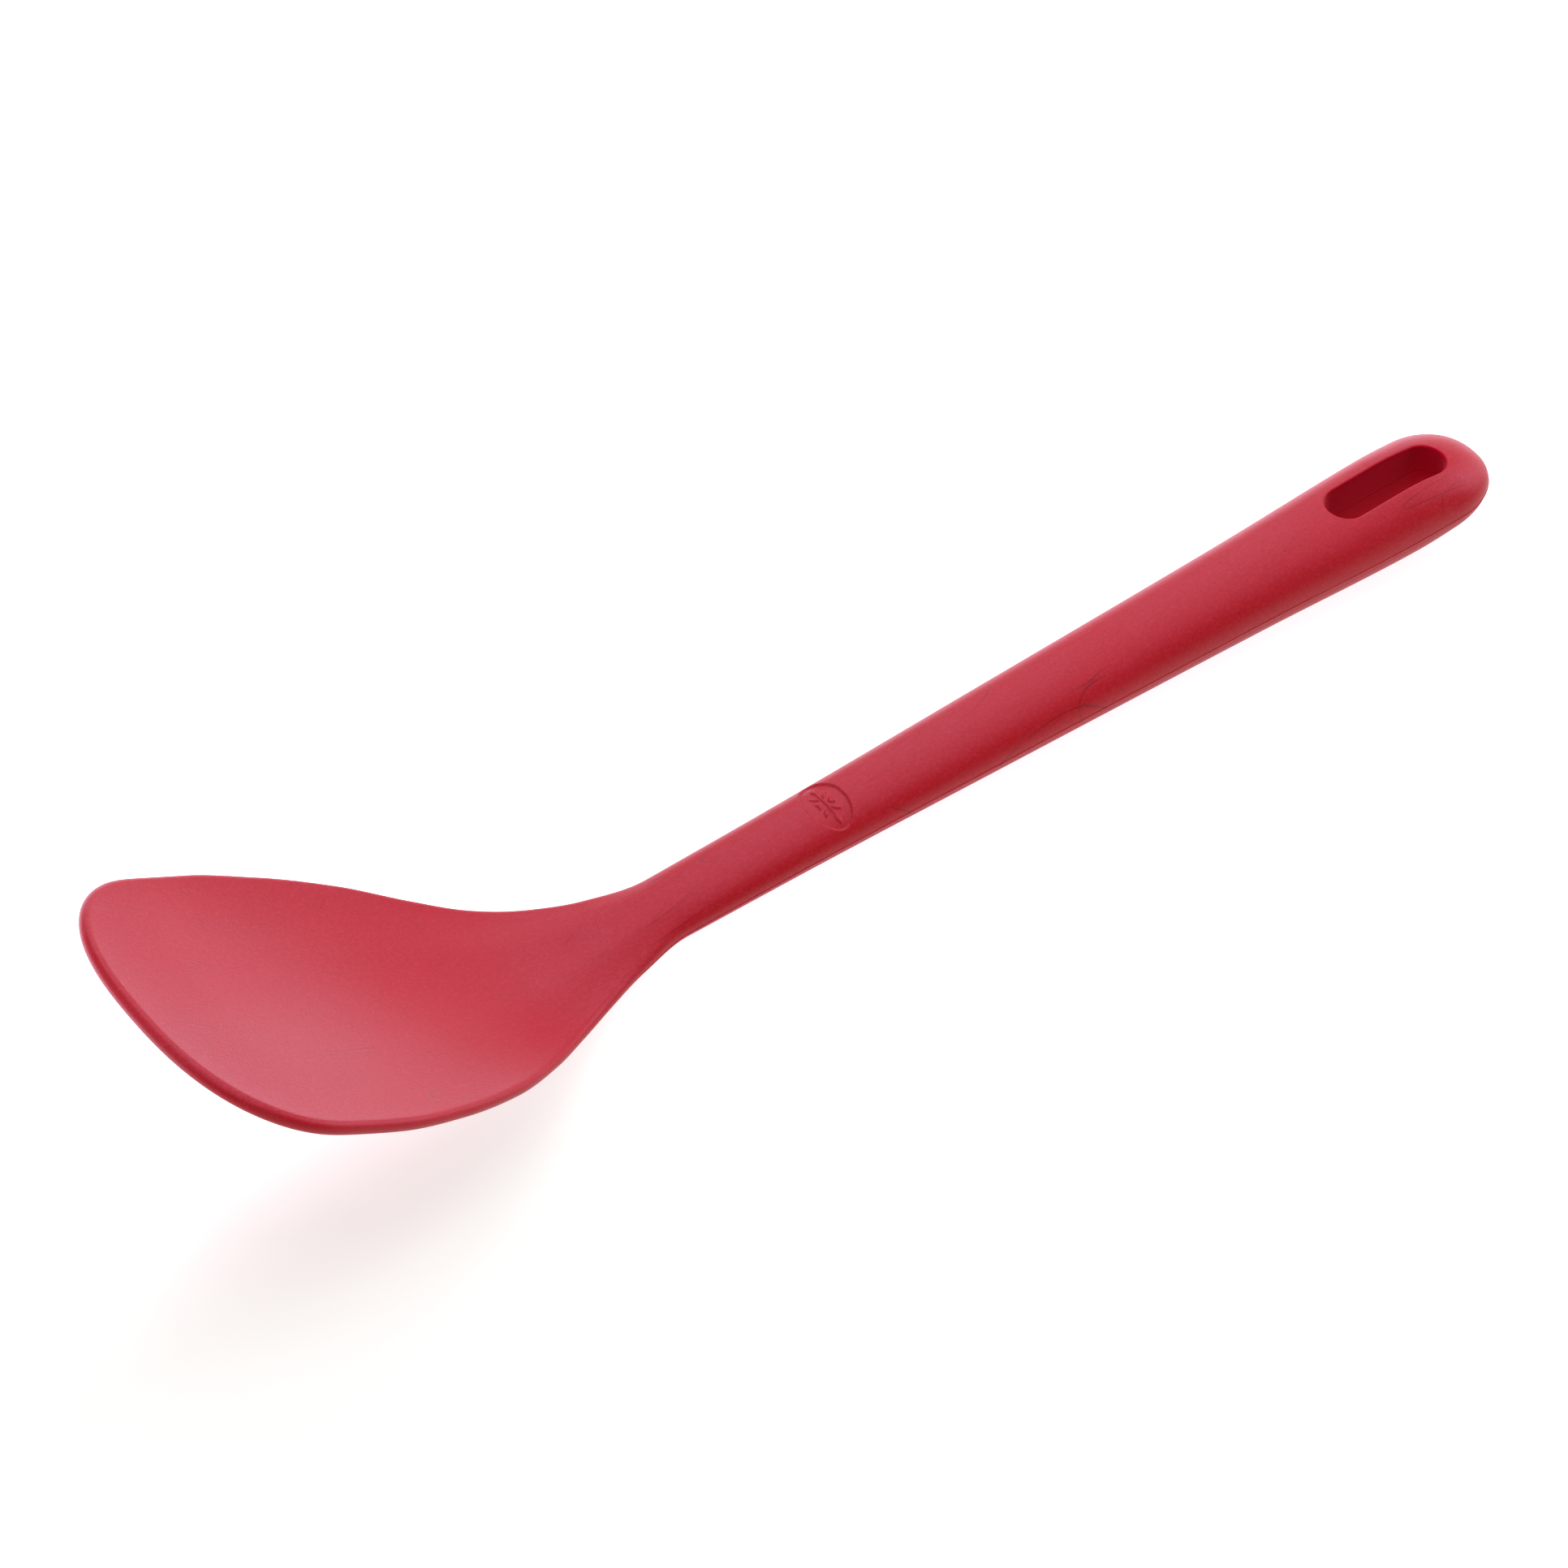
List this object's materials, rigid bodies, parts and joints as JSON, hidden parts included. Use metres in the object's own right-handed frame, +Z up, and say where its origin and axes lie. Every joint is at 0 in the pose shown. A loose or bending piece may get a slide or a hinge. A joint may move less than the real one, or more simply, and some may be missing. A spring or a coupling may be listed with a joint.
{
  "type": "silicone wok turner",
  "caption": "One-piece silicone wok turner: wide shallow dished blade with a thin soft lip, tapering oval handle and a long through slot to hang it by.",
  "frame": {"origin": "under the middle of the overall length and width, on the table that the part lies on", "axes": "+X runs from the blade's tip to the end of the handle, +Z is up from the table, and the part is symmetric across Y"},
  "size_m": [0.3078, 0.0722, 0.0502],
  "materials": {
    "red_silicone": "matte moulded silicone, fine grain",
    "nylon_core": "glass-filled nylon coloured red, as moulded",
    "spring_steel": "rolled stainless strip"
  },
  "bodies": {
    "root": {"silicone_cover": "red_silicone", "handle_core": "nylon_core", "bowl_insert": "spring_steel"}
  },
  "joints": []
}
